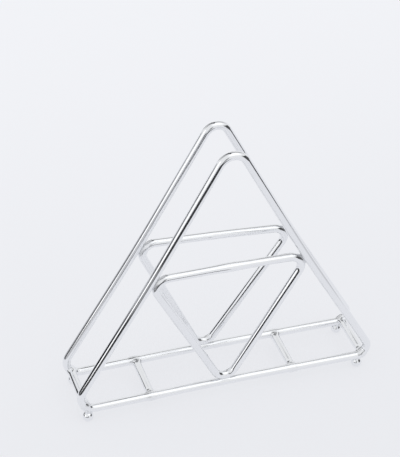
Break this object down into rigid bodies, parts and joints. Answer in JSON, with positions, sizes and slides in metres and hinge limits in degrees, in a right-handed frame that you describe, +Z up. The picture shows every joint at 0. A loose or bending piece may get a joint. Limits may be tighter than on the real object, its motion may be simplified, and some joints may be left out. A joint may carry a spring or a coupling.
{
  "type": "tissue holder",
  "caption": "Upright chrome wire tissue holder: a pair of triangular wire frames with smaller inverted triangles inside, tied by cross bars and standing on ball feet.",
  "frame": {"origin": "on the table, under the middle of the holder's width and depth", "axes": "+X along the width, +Y from the front frame to the back frame, +Z up"},
  "size_m": [0.1494, 0.0322, 0.1406],
  "materials": {
    "wire_chrome": "bright nickel-chrome plate on polished steel wire",
    "ball_chrome": "bright nickel-chrome plate on a steel ball"
  },
  "bodies": {
    "root": {"front_outer_loop": "wire_chrome", "front_inner_loop": "wire_chrome", "back_outer_loop": "wire_chrome", "back_inner_loop": "wire_chrome", "left_mid_bar": "wire_chrome", "right_mid_bar": "wire_chrome", "left_end_bar": "wire_chrome", "right_end_bar": "wire_chrome", "front_left_foot": "ball_chrome", "front_right_foot": "ball_chrome", "back_left_foot": "ball_chrome", "back_right_foot": "ball_chrome"}
  },
  "joints": []
}
